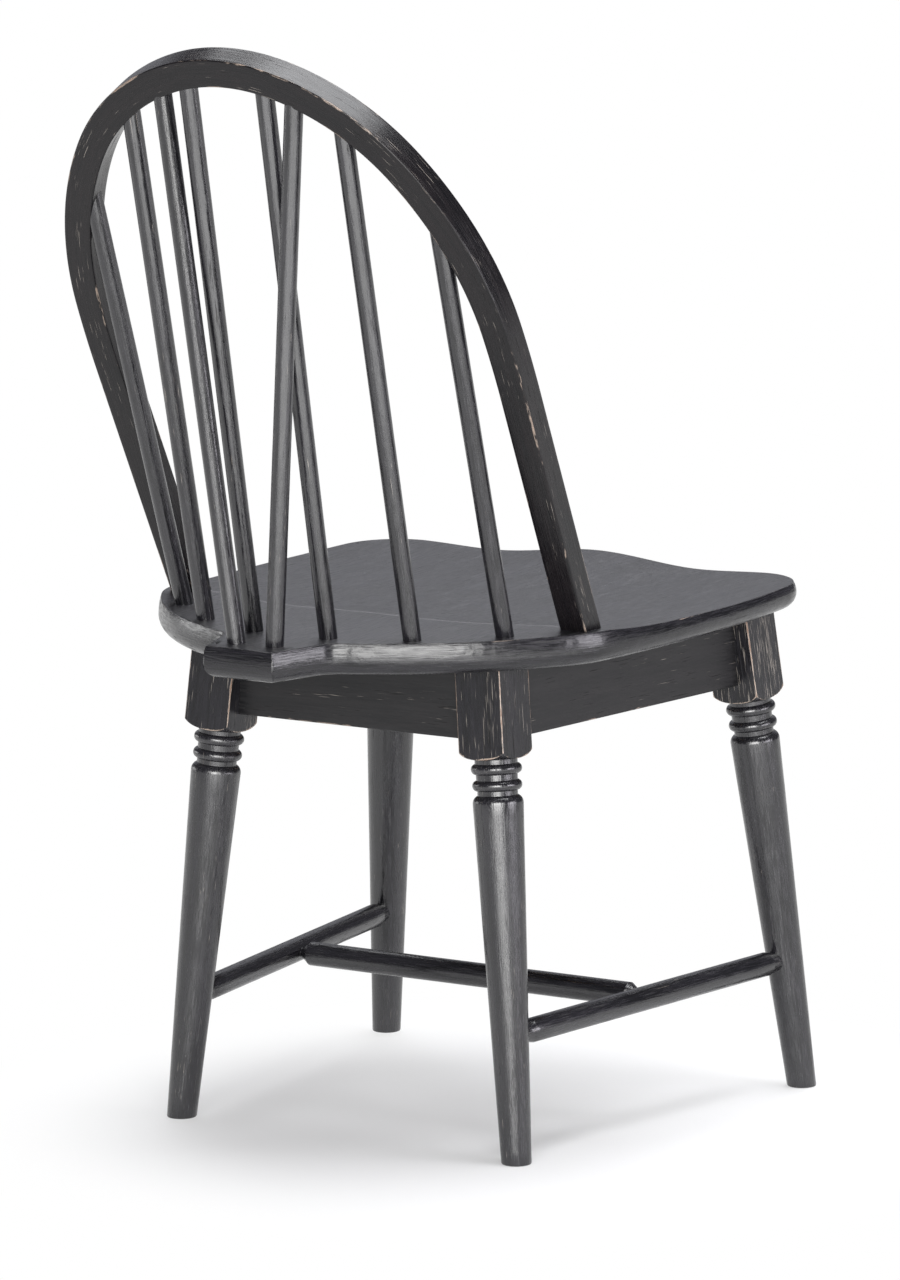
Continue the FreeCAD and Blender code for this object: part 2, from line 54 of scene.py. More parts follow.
def setInputs(tree, node, links):
    # gives each input, by its name or number, a value or another node's output
    for key, value in links.items():
        if isinstance(value, bpy.types.NodeSocket):
            tree.links.new(value, node.inputs[key])
        else:
            node.inputs[key].default_value = value


def addNode(tree, kind, links=None, **settings):
    node = tree.nodes.new(kind)
    for key, value in settings.items():
        setattr(node, key, value)
    setInputs(tree, node, links or {})
    return node


def outputOf(tree, kind, links=None, **settings):
    return addNode(tree, kind, links, **settings).outputs[0]


def mathNode(operation, *values, clamp=False):
    # the node goes where the first linked value comes from
    tree = next(value for value in values if isinstance(value, bpy.types.NodeSocket)).id_data
    return outputOf(tree, "ShaderNodeMath", dict(enumerate(values)), operation=operation, use_clamp=clamp)


def plus(first, second):
    return mathNode("ADD", first, second)


def minus(first, second):
    return mathNode("SUBTRACT", first, second)


def times(first, second):
    return mathNode("MULTIPLY", first, second)


def newGroup(name, kind, inputs, outputs):
    group = bpy.data.node_groups.new(name, kind)
    for label, socketType, value in inputs:
        socket = group.interface.new_socket(label, in_out="INPUT", socket_type=socketType)
        if value is not None:
            socket.default_value = value
    for label, socketType in outputs:
        group.interface.new_socket(label, in_out="OUTPUT", socket_type=socketType)
    return group, group.nodes.new("NodeGroupInput").outputs, group.nodes.new("NodeGroupOutput")


def shaderGroup(name, inputs, outputs):
    # takes a place in the wood and plain numbers, and gives plain numbers
    inputs = [("Place", "NodeSocketVector", None), *((key, "NodeSocketFloat", inputs[key]) for key in inputs)]
    return newGroup(name, "ShaderNodeTree", inputs, [(label, "NodeSocketFloat") for label in outputs])


def useGroup(tree, group, links):
    return addNode(tree, "ShaderNodeGroup", links, node_tree=group).outputs


def noise(tree, place, scale, detail):
    return outputOf(tree, "ShaderNodeTexNoise", {"Vector": place, "Scale": scale, "Detail": detail})


def band(tree, value, low, high):
    # 0 below the low value and 1 above the high one
    return outputOf(tree, "ShaderNodeMapRange", {"Value": value, "From Min": low, "From Max": high},
                   interpolation_type="SMOOTHSTEP")


def objectPlace(tree):
    return addNode(tree, "ShaderNodeTexCoord").outputs["Object"]


def newMaterial(name):
    material = bpy.data.materials.new(name)
    material.use_nodes = True
    return material, material.node_tree, material.node_tree.nodes["Principled BSDF"]


def addObject(name, data):
    item = bpy.data.objects.new(name, data)
    scene.collection.objects.link(item)
    return item


# shader groups that the finishes share; "grain" is a place in the wood, in metres, with its Z along the grain

grainNoises = {  # how far each is drawn out along the grain, its scale, its detail and where it starts
    "rings": (0.04, 260, 3.0, 0.0), "fine": (0.055, 950, 3.0, 3.7), "dash": (0.032, 1350, 1.0, 8.1),
    "patch": (0.25, 38, 2.0, 5.3), "tone": (0.12, 55, 3.0, 1.9),
    "slowRub": (0.35, 42, 2.0, 2.2), "quickRub": (0.18, 620, 2.0, 6.4),
}
grainMix = {
    "poreRings": 0.45, "poreFine": 0.75, "poreStart": 0.86, "poreRange": 0.36, "poreSoft": 0.10,
    "fleckPatch": 0.55, "fleckStart": 0.98, "fleckRange": 0.42, "fleckSoft": 0.07,
    "streak": (0.36, 0.66), "tone": (0.38, 0.62), "highFine": 0.8, "highRings": 0.6, "poreDepth": 0.5,
}
rubMix = {
    "slow": 0.65, "quick": 0.35, "breakup": 3.2,
    "bare": (0.28, 0.46), "ringStart": (0.20, 0.32), "ringEnd": (0.40, 0.55),
}
handMix = {  # scale and detail of each noise; each set of scratches has its turn and where it starts
    "dull": (17, 4.0), "wave": (90, 2.0), "scratch": (700, 0.0), "scratchBand": (0.775, 0.80),
    "scratchLength": 0.05, "sets": ((0.5, 0.0), (-0.75, 4.0), (1.3, 9.0)),
}


def grainNoise(group, place, kind):
    squeeze, scale, detail, start = grainNoises[kind]
    moved = outputOf(group, "ShaderNodeMapping", {
        "Vector": place, "Location": (start, start, start), "Scale": (1, 1, squeeze)})
    return noise(group, moved, scale, detail)


def makeOpenGrain(mix):
    inputs = {"Pore Size": 1.0, "Pore Amount": 0.5, "Fleck Amount": 0.5}
    group, given, out = shaderGroup("openGrain", inputs, ("Pores", "Flecks", "Tone", "Streak", "Height"))
    place = {0: given["Place"], 1: given["Pore Size"]}
    place = outputOf(group, "ShaderNodeVectorMath", place, operation="DIVIDE")

    def marks(level, kind, amount):
        # more of the level shows as the amount grows
        start = minus(mix[kind + "Start"], times(amount, mix[kind + "Range"]))
        return band(group, minus(level, start), 0.0, mix[kind + "Soft"])

    rings, fine = grainNoise(group, place, "rings"), grainNoise(group, place, "fine")
    level = plus(times(rings, mix["poreRings"]), times(fine, mix["poreFine"]))
    pores = marks(level, "pore", given["Pore Amount"])
    dash, patch = grainNoise(group, place, "dash"), grainNoise(group, place, "patch")
    level = plus(dash, times(minus(patch, 0.5), mix["fleckPatch"]))
    flecks = marks(level, "fleck", given["Fleck Amount"])
    tone = plus(times(grainNoise(group, place, "tone"), 0.5), times(rings, 0.5))
    height = plus(times(fine, mix["highFine"]), times(rings, mix["highRings"]))
    setInputs(group, out, {
        "Pores": pores, "Flecks": flecks, "Tone": band(group, tone, *mix["tone"]),
        "Streak": band(group, fine, *mix["streak"]),
        "Height": minus(height, times(pores, mix["poreDepth"]))})
    return group


def makeRubThrough(mix):
    inputs = {"Edge": 0.0, "Reach": 0.5, "Breakup": 0.6}
    group, given, out = shaderGroup("rubThrough", inputs, ("Bare", "Pale"))
    slow, quick = grainNoise(group, given["Place"], "slowRub"), grainNoise(group, given["Place"], "quickRub")
    rough = plus(times(slow, mix["slow"]), times(quick, mix["quick"]))
    rough = times(minus(rough, 0.5), times(given["Breakup"], mix["breakup"]))
    level = plus(minus(given["Edge"], 1.0), plus(rough, given["Reach"]))
    starts, ends = band(group, level, *mix["ringStart"]), band(group, level, *mix["ringEnd"])
    ring = mathNode("SUBTRACT", starts, ends, clamp=True)
    setInputs(group, out, {"Bare": band(group, level, *mix["bare"]), "Pale": ring})
    return group


def makeHandling(mix):
    group, given, out = shaderGroup("handling", {"Scratches": 0.3}, ("Dull", "Scratch", "Waviness"))
    marks = []
    for turn, start in mix["sets"]:
        turned = outputOf(group, "ShaderNodeMapping", {
            "Vector": given["Place"], "Location": (start, start, start), "Rotation": (0.15, turn, 0.2),
            "Scale": (1, 1, mix["scratchLength"])})
        marks.append(band(group, noise(group, turned, *mix["scratch"]), *mix["scratchBand"]))
    scratch = mathNode("MAXIMUM", mathNode("MAXIMUM", marks[0], marks[1]), marks[2])
    setInputs(group, out, {
        "Dull": noise(group, given["Place"], *mix["dull"]), "Scratch": times(scratch, given["Scratches"]),
        "Waviness": noise(group, given["Place"], *mix["wave"])})
    return group


openGrain = makeOpenGrain(grainMix)
rubThrough = makeRubThrough(rubMix)
handling = makeHandling(handMix)


def mixColour(tree, amount, first, second):
    links = {0: amount, 6: first, 7: second}
    links = {key: (*value, 1) if isinstance(value, tuple) else value for key, value in links.items()}
    return addNode(tree, "ShaderNodeMix", links, data_type="RGBA").outputs[2]


def paintedWood(name, look):
    # black paint over open-grained wood, rubbed through to tan along the edges
    material, tree, shader = newMaterial(name)
    place = addNode(tree, "ShaderNodeAttribute", attribute_name="grain").outputs["Vector"]
    edge = addNode(tree, "ShaderNodeAttribute", attribute_name="edge").outputs["Fac"]
    grain = useGroup(tree, openGrain, {
        "Place": place, "Pore Size": look["poreSize"], "Pore Amount": look["pores"],
        "Fleck Amount": look["flecks"]})
    rub = useGroup(tree, rubThrough, {"Place": place, "Edge": edge, "Reach": look["rub"]})
    hands = useGroup(tree, handling, {"Place": place, "Scratches": look["scratches"]})
    colour = mixColour(tree, times(plus(grain["Tone"], grain["Streak"]), 0.5), look["dark"], look["light"])
    layers = {
        "pore": grain["Pores"], "fleck": times(grain["Flecks"], look["fleckStrength"]),
        "scratch": hands["Scratch"], "bare": rub["Bare"], "pale": times(rub["Pale"], look["paleStrength"]),
    }
    for layer, amount in layers.items():
        colour = mixColour(tree, amount, colour, look[layer])
    rough = outputOf(tree, "ShaderNodeMapRange", {
        "Value": hands["Dull"], "From Min": look["dull"][0], "From Max": look["dull"][1],
        "To Min": look["gloss"][0], "To Max": look["gloss"][1]})
    rougher = {"bareRough": rub["Bare"], "poreRough": grain["Pores"], "brushed": grain["Streak"]}
    for share, amount in rougher.items():
        rough = plus(rough, times(amount, look[share]))
    height = plus(times(grain["Height"], look["relief"]), times(hands["Waviness"], look["wave"]))
    height = minus(height, times(rub["Bare"], look["bareDepth"]))
    bump = outputOf(tree, "ShaderNodeBump", {"Height": height, "Strength": 1.0, "Distance": look["bump"]})
    setInputs(tree, shader, {
        "Base Color": colour, "Roughness": rough, "Normal": bump, "Specular IOR Level": look["specular"]})
    return material


paintLook = {
    "dark": (0.0035, 0.0035, 0.0044), "light": (0.016, 0.015, 0.019), "pore": (0.0015, 0.0015, 0.0015),
    "fleck": (0.24, 0.215, 0.19), "fleckStrength": 0.8, "scratch": (0.24, 0.24, 0.25),
    "bare": (0.14, 0.065, 0.034), "pale": (0.42, 0.34, 0.28), "paleStrength": 0.45,
    "poreSize": 1.0, "pores": 0.42, "flecks": 0.5, "rub": 0.12, "scratches": 0.0,
    "gloss": (0.17, 0.28), "brushed": 0.14, "relief": 1.2, "wave": 0.5, "specular": 0.8,
    "dull": (0.3, 0.7), "bareRough": 0.25, "poreRough": 0.3, "bareDepth": 0.5, "bump": 0.0002,
}
paintMixes = {
    "seat": {
        "flecks": 0.10, "fleckStrength": 0.25, "scratches": 0.45, "scratch": (0.10, 0.10, 0.11),
        "gloss": (0.26, 0.38), "relief": 0.8, "specular": 0.66, "rub": 0.08,
        "bare": (0.060, 0.058, 0.064), "pale": (0.22, 0.21, 0.22)},
    "rim": {"flecks": 0.12, "gloss": (0.13, 0.26), "relief": 1.0, "wave": 2.0, "specular": 0.60, "rub": 0.03},
    "stick": {"light": (0.017, 0.016, 0.020), "flecks": 0.50, "gloss": (0.12, 0.22), "specular": 0.90},
    # the bow's paint is darker than the rest of the black paint, as painted shade for its back faces
    "bow": {"light": (0.010, 0.008, 0.009), "flecks": 0.54, "specular": 0.34, "rub": 0.12, "brushed": 0.10},
    "leg": {"light": (0.017, 0.016, 0.020), "flecks": 0.54, "gloss": (0.12, 0.22), "specular": 0.90},
    # the blocks' corners are rubbed through to tan, and the pale line beside the tan is made strong as a
    # painted highlight along the corners
    "block": {"flecks": 0.74, "fleckStrength": 0.95, "specular": 0.45, "rub": 0.62, "paleStrength": 0.8},
    # the aprons' paint is darker than the sticks', as painted shade for their faces under the seat
    "rail": {
        "light": (0.012, 0.011, 0.012), "flecks": 0.56, "specular": 0.42, "gloss": (0.30, 0.42),
        "relief": 0.8},
}
paints = {name: paintedWood(name + "Paint", paintLook | changes) for name, changes in paintMixes.items()}
print("finishes mixed")


# mesh helpers

def makePiece(name, mesh, nodes, creaseAngle=32):
    # a finished mesh becomes a piece that stands for its nodes
    mesh.name = name
    mesh.shade_smooth()
    mesh.set_sharp_from_angle(angle=radians(creaseAngle))
    piece = addObject(name, mesh)
    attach(piece, "root")
    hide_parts(*nodes)


def noteNumbers(mesh, name, values):
    mesh.attributes.new(name, "FLOAT", "POINT").data.foreach_set("value", values)


def meshFrom(points, faces, edge, grain, place=stand):
    mesh = bpy.data.meshes.new("part")
    mesh.from_pydata([place @ Vector(point) for point in points], [], faces)
    noteNumbers(mesh, "edge", edge)
    flat = [number for spot in grain for number in spot]
    mesh.attributes.new("grain", "FLOAT_VECTOR", "POINT").data.foreach_set("vector", flat)
    return mesh


def paintFaces(mesh, finishes, second):
    # two finishes on one mesh, and for each face whether it takes the second
    for finish in finishes:
        mesh.materials.append(paints[finish])
    mesh.polygons.foreach_set("material_index", [int(chosen) for chosen in second])


def mergeMesh(mesh, distance=0.00002):
    # one closed skin: doubles joined, slivers gone, normals outwards
    work = bmesh.new()
    work.from_mesh(mesh)
    bmesh.ops.remove_doubles(work, verts=work.verts, dist=distance)
    bmesh.ops.dissolve_degenerate(work, edges=work.edges, dist=distance / 2)
    bmesh.ops.recalc_face_normals(work, faces=work.faces)
    work.to_mesh(mesh)
    work.free()


def ringFaces(rows, columns):
    # quads between rows of points that close on themselves, each row after the last
    faces = []
    for row in range(rows - 1):
        for column in range(columns):
            here, after = row * columns + column, row * columns + (column + 1) % columns
            faces.append((here, after, after + columns, here + columns))
    return faces


def guideMesh(line, widths, start):
    # a line's points, with its half width and the distance along its grain noted at each
    mesh = bpy.data.meshes.new("guide")
    mesh.from_pydata(line, [(number, number + 1) for number in range(len(line) - 1)], [])
    along = [start]
    for before, after in zip(line, line[1:]):
        along.append(along[-1] + (after - before).length)
    noteNumbers(mesh, "girth", widths)
    noteNumbers(mesh, "along", along)
    return mesh


def attribute(tree, name, kind="FLOAT"):
    return outputOf(tree, "GeometryNodeInputNamedAttribute", {"Name": name}, data_type=kind)


def noted(tree, geometry, name, value, kind="FLOAT"):
    # the geometry with the value stored on its points
    links = {"Geometry": geometry, "Name": name, "Value": value}
    return outputOf(tree, "GeometryNodeStoreNamedAttribute", links, data_type=kind)


def sectionTree(name, inputs, drawSection):
    # carries a section along the guide's line, and notes on every point its place in the wood
    inputs = [("Guide", "NodeSocketGeometry", None), *inputs, ("Finish", "NodeSocketMaterial", None)]
    tree, given, out = newGroup(name, "GeometryNodeTree", inputs, [("Piece", "NodeSocketGeometry")])
    line = outputOf(tree, "GeometryNodeMeshToCurve", {"Mesh": given["Guide"]})
    line = outputOf(tree, "GeometryNodeSetCurveNormal", {"Curve": line}, mode="Z_UP")
    section, edge = drawSection(tree, given)
    spot = outputOf(tree, "GeometryNodeInputPosition")
    section = noted(tree, section, "spot", spot, "FLOAT_VECTOR")
    section = noted(tree, section, "edge", edge)
    girth = attribute(tree, "girth")
    solid = outputOf(tree, "GeometryNodeCurveToMesh", {
        "Curve": line, "Profile Curve": section, "Scale": girth, "Fill Caps": True})
    spot = attribute(tree, "spot", "FLOAT_VECTOR")
    spot = outputOf(tree, "ShaderNodeVectorMath", {0: spot, 1: girth}, operation="MULTIPLY")
    spot = addNode(tree, "ShaderNodeSeparateXYZ", {0: spot}).outputs
    grain = outputOf(tree, "ShaderNodeCombineXYZ", {0: spot[0], 1: spot[1], 2: attribute(tree, "along")})
    solid = noted(tree, solid, "grain", grain, "FLOAT_VECTOR")
    solid = outputOf(tree, "GeometryNodeRealizeInstances", {"Geometry": solid})
    solid = outputOf(tree, "GeometryNodeSetMaterial", {"Geometry": solid, "Material": given["Finish"]})
    setInputs(tree, out, {"Piece": solid})
    return tree


def roundSection(tree, given):
    links = {"Resolution": given["Sides"], "Radius": 1.0}
    return outputOf(tree, "GeometryNodeCurvePrimitiveCircle", links), 0.0


def squareSection(tree, given):
    # a rectangle with broken corners, whose corners are marked as edges that wear
    sizes = {"Width": given["Width"], "Height": given["Depth"]}
    line = outputOf(tree, "GeometryNodeCurvePrimitiveQuadrilateral", sizes)
    line = outputOf(tree, "GeometryNodeSubdivideCurve", {"Curve": line, "Cuts": given["Cuts"]})
    fillet = {"Curve": line, "Count": 4, "Radius": given["Corner"]}
    line = outputOf(tree, "GeometryNodeFilletCurve", fillet, mode="POLY")
    spot = addNode(tree, "ShaderNodeSeparateXYZ", {0: outputOf(tree, "GeometryNodeInputPosition")})
    corner = None
    for axis, side in ((0, given["Width"]), (1, given["Depth"])):
        limit = minus(times(side, 0.5), times(given["Corner"], 1.02))
        near = mathNode("GREATER_THAN", mathNode("ABSOLUTE", spot.outputs[axis]), limit)
        corner = near if corner is None else times(corner, near)
    return line, corner


turnedStick = sectionTree("turnedStick", [("Sides", "NodeSocketInt", 40)], roundSection)
squaredStick = sectionTree("squaredStick", [
    ("Width", "NodeSocketFloat", 0.02), ("Depth", "NodeSocketFloat", 0.02),
    ("Corner", "NodeSocketFloat", 0.001), ("Cuts", "NodeSocketInt", 6)], squareSection)


def grow(line, tree, values, place=stand):
    # the guide's line goes through the tree, and comes out as one plain mesh
    guide = addObject("guide", guideMesh(*line))
    modifier = guide.modifiers.new("grow", "NODES")
    modifier.node_group = tree
    for socket in tree.interface.items_tree:
        if socket.in_out == "INPUT" and socket.name in values:
            modifier[socket.identifier] = values[socket.name]
    grown = bpy.data.meshes.new_from_object(guide.evaluated_get(bpy.context.evaluated_depsgraph_get()))
    guide.modifiers.remove(modifier)
    bpy.data.objects.remove(guide)
    grown.transform(place)
    mergeMesh(grown)
    return grown


def turnStick(name, line, sides, node, creaseAngle=32):
    mesh = grow(line, turnedStick, {"Sides": sides, "Finish": paints["stick"]})
    makePiece(name, mesh, [node], creaseAngle)


# where the pieces start along the grain, so that no two look alike
grainStart = {
    "rim": 5.0, "spindle": 3.1, "sides": 1.3, "leg": 2.7, "apron": 1.9, "stretcher": 4.4, "medial": 8.8,
}


# the saddled seat

seatShape = {
    "front": 0.233,  # from the seat's middle to its front edge
    "stretches": ((3.9, 2.6), (0.062, 84), (1.1, 98.4), (0.090, 121.8), (0.322, 157.8), (-0.025, 108)),
    "tailFlank": 0.0482, "tailCorner": 0.0025, "tailSteps": 4,
    "underRound": 0.013, "underSteps": 8, "draft": 0.0022, "topBreak": 0.0010, "lip": (0.0035, 0.008),
    "step": 0.0035, "field": 0.005, "underField": 0.03,
    # the crease points get a high edge value, which draws a grey line with pale grey borders along the crease
    "creaseHalf": 0.0030, "creasePaleLine": 5.0, "creaseStep": 0.003, "creaseSpots": 70, "creaseReach": 0.165,
    "halvings": 30,
}
saddleAcross = (0, 0.100, 0.165, 0.222, 0.270)
saddleSections = {  # y of each carved section, then its heights in millimetres at the first four places above
    0.165: (3.0, 3.5, 5.5, 8.0), 0.130: (0.0, -0.2, 1.8, 3.5), 0.095: (-3.5, -4.0, -2.0, -0.8),
    0.050: (-6.5, -7.5, -5.8, -4.3), -0.020: (-8.5, -10.0, -8.2, -6.2), -0.100: (-8.0, -11.0, -9.4, -7.2),
    -0.170: (-4.5, -10.5, -8.8, -6.6), -0.235: (-1.5, -9.5, -7.2, -5.2), -0.262: (-1.0, -9.3, -7.0, -4.6),
}


def naturalSpline(knots, values):
    # a smooth curve through the values at the knots; values may be rows of numbers
    knots, values = numpy.asarray(knots, float), numpy.asarray(values, float)
    gaps = numpy.diff(knots)
    count = len(knots)
    system = numpy.eye(count)
    right = numpy.zeros_like(values)
    for row in range(1, count - 1):
        system[row, row - 1:row + 2] = gaps[row - 1], 2 * (gaps[row - 1] + gaps[row]), gaps[row]
        slopes = (values[row + 1] - values[row]) / gaps[row], (values[row] - values[row - 1]) / gaps[row - 1]
        right[row] = 6 * (slopes[0] - slopes[1])
    bend = numpy.linalg.solve(system, right)

    def at(spot):
        row = min(max(int(numpy.searchsorted(knots, spot)) - 1, 0), count - 2)
        before, after, gap = spot - knots[row], knots[row + 1] - spot, gaps[row]
        return ((bend[row] * after ** 3 + bend[row + 1] * before ** 3) / (6 * gap)
                + (values[row] / gap - bend[row] * gap / 6) * after
                + (values[row + 1] / gap - bend[row + 1] * gap / 6) * before)
    return at


def sectionCurves():
    # one curve across the seat for each section, from the front to the back
    spots = [-x for x in saddleAcross[:0:-1]] + list(saddleAcross)
    curves = []
    for place in sorted(saddleSections):
        half = list(saddleSections[place])
        half.append(2 * half[3] - half[2])
        curves.append(naturalSpline(spots, [z / 1000 for z in half[:0:-1] + half]))
    return sorted(saddleSections), curves


saddlePlaces, saddleCurves = sectionCurves()
saddleBlend = naturalSpline(saddlePlaces, numpy.eye(len(saddlePlaces)))


def saddleHeight(x, y):
    if y >= saddlePlaces[-1]:
        return 1.0
    return float(numpy.dot(saddleBlend(max(y, saddlePlaces[0])), [curve(x) for curve in saddleCurves]))


def seatTopHeight(x, y):
    return min(0.0, saddleHeight(x, y))


def seatOutline(shape):
    # the right half as tangent arcs, stepped evenly; each point comes with its inward direction
    here, heading = Vector((0, -shape["front"])), 0.0
    half = []

    def inwards():
        return Vector((-sin(heading), cos(heading)))

    def stretch(length, radius):
        nonlocal here, heading
        steps = max(2, round(length / shape["step"])) if radius != shape["tailCorner"] else shape["tailSteps"]
        for number in range(steps):
            half.append((here.copy(), inwards()))
            if radius:
                middle = here + radius * inwards()
                heading += length / steps / radius
                here = middle - radius * inwards()
            else:
                here = here + length / steps * Vector((cos(heading), sin(heading)))

    for radius, stop in shape["stretches"]:
        stretch(abs(radians(stop) - heading) * abs(radius), radius)
    stretch(shape["tailFlank"], 0)
    flank = (here.copy(), inwards())
    stretch((pi - heading) * shape["tailCorner"], shape["tailCorner"])
    rear = here.y
    stretch(here.x, 0)
    mirrored = [(Vector((-p.x, p.y)), Vector((-n.x, n.y))) for p, n in half[:0:-1]]
    return half + [(Vector((0, rear)), Vector((0, -1)))] + mirrored, flank, rear


def insetOutline(outline, flank, rear, inset):
    # the outline drawn in, where the tail's two sides and its end meet in mitres
    corner, inward = flank
    reach = (rear - inset - corner.y - inward.y * inset) / -inward.x  # along the flank to the mitre
    along = Vector((inward.y, -inward.x))
    mitre = corner + inward * inset + along * reach
    ring = []
    for point, direction in outline:
        spot = point + direction * inset
        side = Vector((abs(spot.x), spot.y))
        if side.y > corner.y - 3 * inset and (side.y > rear - inset or (side - corner).dot(inward) < inset):
            if point.y > corner.y - 3 * inset:
                side = mitre
        ring.append(Vector((copysign(side.x, point.x or 1), side.y)))
    return ring


def fillField(ring, spacing, creases=()):
    # triangles inside a ring, on a regular field of points, with creases kept as lines
    xs, ys = [p.x for p in ring], [p.y for p in ring]
    points = list(ring)
    edges = [(number, (number + 1) % len(ring)) for number in range(len(ring))]
    for line in creases:
        edges += [(len(points) + n, len(points) + n + 1) for n in range(len(line) - 1)]
        points += line
    for row in range(int((max(ys) - min(ys)) / spacing)):
        for column in range(int((max(xs) - min(xs)) / spacing) + 1):
            shift = 0.5 * spacing * (row % 2)
            points.append(Vector((min(xs) + column * spacing + shift, min(ys) + (row + 0.5) * spacing)))
    made = delaunay_2d_cdt(points, edges, [list(range(len(ring)))], 1, 1e-5)
    return made[0], made[2]


def creaseLine(shape):
    # where the carving starts, from rim to rim behind the sitter, found by halving
    line = []
    for number in range(-shape["creaseSpots"], shape["creaseSpots"] + 1):
        x = number * shape["creaseStep"]
        low, high = 0.0, shape["creaseReach"]
        for _ in range(shape["halvings"]):
            middle = (low + high) / 2
            if saddleHeight(x, middle) > 0:
                high = middle
            else:
                low = middle
        line.append(Vector((x, low)))
    return line


def buildSeat(shape):
    outline, flank, rear = seatOutline(shape)
    top, under = stance["seatTop"], -stance["seatThick"]
    # each ring: how far in, its height from the seat's top or its share of the side or its name, and its wear
    levels = []
    for number in range(shape["underSteps"] + 1):
        angle, bend = radians(90 * number / shape["underSteps"]), shape["underRound"]
        levels.append((bend * (1 - sin(angle)), under + bend * (1 - cos(angle)), 0.0))
    for part, wear in ((0.3, 0.0), (0.6, 0.0), (0.8, 0.15)):
        levels.append((shape["draft"] * part ** 2, part, wear))
    inset = shape["draft"]
    levels += [(inset, "rim", 0.9), (inset + 0.3 * shape["topBreak"], "break", 1.0),
               (inset + shape["topBreak"], "top", 0.9), (inset + shape["lip"][0], "top", 0.15),
               (inset + shape["lip"][1], "top", 0.0)]
    points, wear, grain = [], [], []
    side = under + shape["underRound"]
    belowTop = {"rim": shape["topBreak"], "break": 0.3 * shape["topBreak"], "top": 0.0}
    around = [0.0]
    for (before, _), (after, _) in zip(outline, outline[1:]):
        around.append(around[-1] + (after - before).length)
    around = [min(along, around[-1] - along) for along in around]  # meets itself at the front and the back
    for inset, height, edge in levels:
        for spot, along in zip(insetOutline(outline, flank, rear, inset), around):
            surface = seatTopHeight(spot.x, spot.y)
            if height in belowTop:
                z = surface - belowTop[height]
            elif height >= 0:
                z = side + (surface - shape["topBreak"] - side) * height
            else:
                z = height
            points.append((spot.x, spot.y, top + z))
            wear.append(edge)
            # on the rim the brush ran round the seat, on top it ran with the boards
            grain.append((spot.x, z, spot.y) if height == "top" else (inset, z, along + grainStart["rim"]))
    count = len(outline)
    faces = ringFaces(len(levels), count)
    crease = creaseLine(shape)
    besides = [[spot + Vector((0, sign * shape["creaseHalf"])) for spot in crease] for sign in (-1, 1)]
    creased = {(round(spot.x, 5), round(spot.y, 5)) for spot in crease}

    def cover(field, triangles, heightAt, creased=()):
        first = len(points)
        for spot in field:
            z = heightAt(spot.x, spot.y)
            points.append((spot.x, spot.y, top + z))
            wear.append(shape["creasePaleLine"] if (round(spot.x, 5), round(spot.y, 5)) in creased else 0.0)
            grain.append((spot.x, z, spot.y))
        faces.extend(tuple(first + corner for corner in face) for face in triangles)

    ring = insetOutline(outline, flank, rear, levels[-1][0])
    cover(*fillField(ring, shape["field"], [crease] + besides), seatTopHeight, creased)
    field, triangles = fillField(insetOutline(outline, flank, rear, levels[0][0]), shape["underField"])
    cover(field, [face[::-1] for face in triangles], lambda x, y: under)
    mesh = meshFrom(points, faces, wear, grain)
    rimFaces = count * sum(height != "top" for _, height, _ in levels)
    paintFaces(mesh, ("seat", "rim"), [number < rimFaces for number in range(len(faces))])
    return mesh


seatMesh = buildSeat(seatShape)
mergeMesh(seatMesh)
makePiece("saddledSeat", seatMesh, ["seat"], 40)
print("seat carved")


# the hoop

hoopShape = {
    "width": 0.026, "depth": 0.023, "corner": 0.0012, "crown": 0.5383, "rake": 24.2, "stands": 0.1095,
    "headForward": 0.0015, "headsAbove": 0.55, "sink": 0.019, "step": 0.004, "footSteps": 43, "cuts": 6,
    # the radius of each bend, and the heading at its end
    "bends": ((0.1675, 17), (0.2023, 55.4), (0.2941, 87.8), (0.9716, 91.55)),
}
hoopPlane = Matrix.Translation((0, hoopShape["stands"], stance["seatTop"])) @ Matrix.Rotation(
    radians(90 - hoopShape["rake"]), 4, "X")


def outwards(angle):
    return Vector((sin(angle), cos(angle), 0))


def hoopLine(shape):
    # the middle line from the crown down one side, as points of tangent bends and a straight foot
    here, heading = Vector((0, shape["crown"], 0)), 0.0
    half = [here.copy()]
    for radius, stop in shape["bends"]:
        turn = radians(stop) - heading
        steps = max(3, round(radius * turn / shape["step"]))
        centre = here - radius * outwards(heading)
        for number in range(1, steps + 1):
            angle = heading + turn * number / steps
            half.append(centre + radius * outwards(angle))
        here, heading = half[-1], radians(stop)
    drop = (here.y + shape["sink"]) / sin(heading)
    down = Vector((cos(heading), -sin(heading), 0))
    half += [here + drop * number / shape["footSteps"] * down for number in range(1, shape["footSteps"] + 1)]
    return [Vector((-p.x, p.y, 0)) for p in half[:0:-1]] + half


def onHoop(x):
    # where a stick's head ends over x, in the level frame: a little before the hoop's middle line
    line = [p for p in hoopLine(hoopShape) if p.x >= 0 and p.y > hoopShape["crown"] * hoopShape["headsAbove"]]
    for before, after in zip(line, line[1:]):
        if before.x <= abs(x) <= after.x:
            part = (abs(x) - before.x) / (after.x - before.x)
            spot = before.lerp(after, part)
            return hoopPlane @ Vector((copysign(spot.x, x), spot.y, hoopShape["headForward"]))
    raise ValueError("no hoop over %s" % x)


line = hoopLine(hoopShape)
hoopMesh = grow((line, [1.0] * len(line), 0.0), squaredStick, {
    "Width": hoopShape["width"], "Depth": hoopShape["depth"], "Corner": hoopShape["corner"],
    "Cuts": hoopShape["cuts"], "Finish": paints["bow"]}, stand @ hoopPlane)
makePiece("bentBow", hoopMesh, ["bow"])
print("hoop bent")


# the spindles and braces

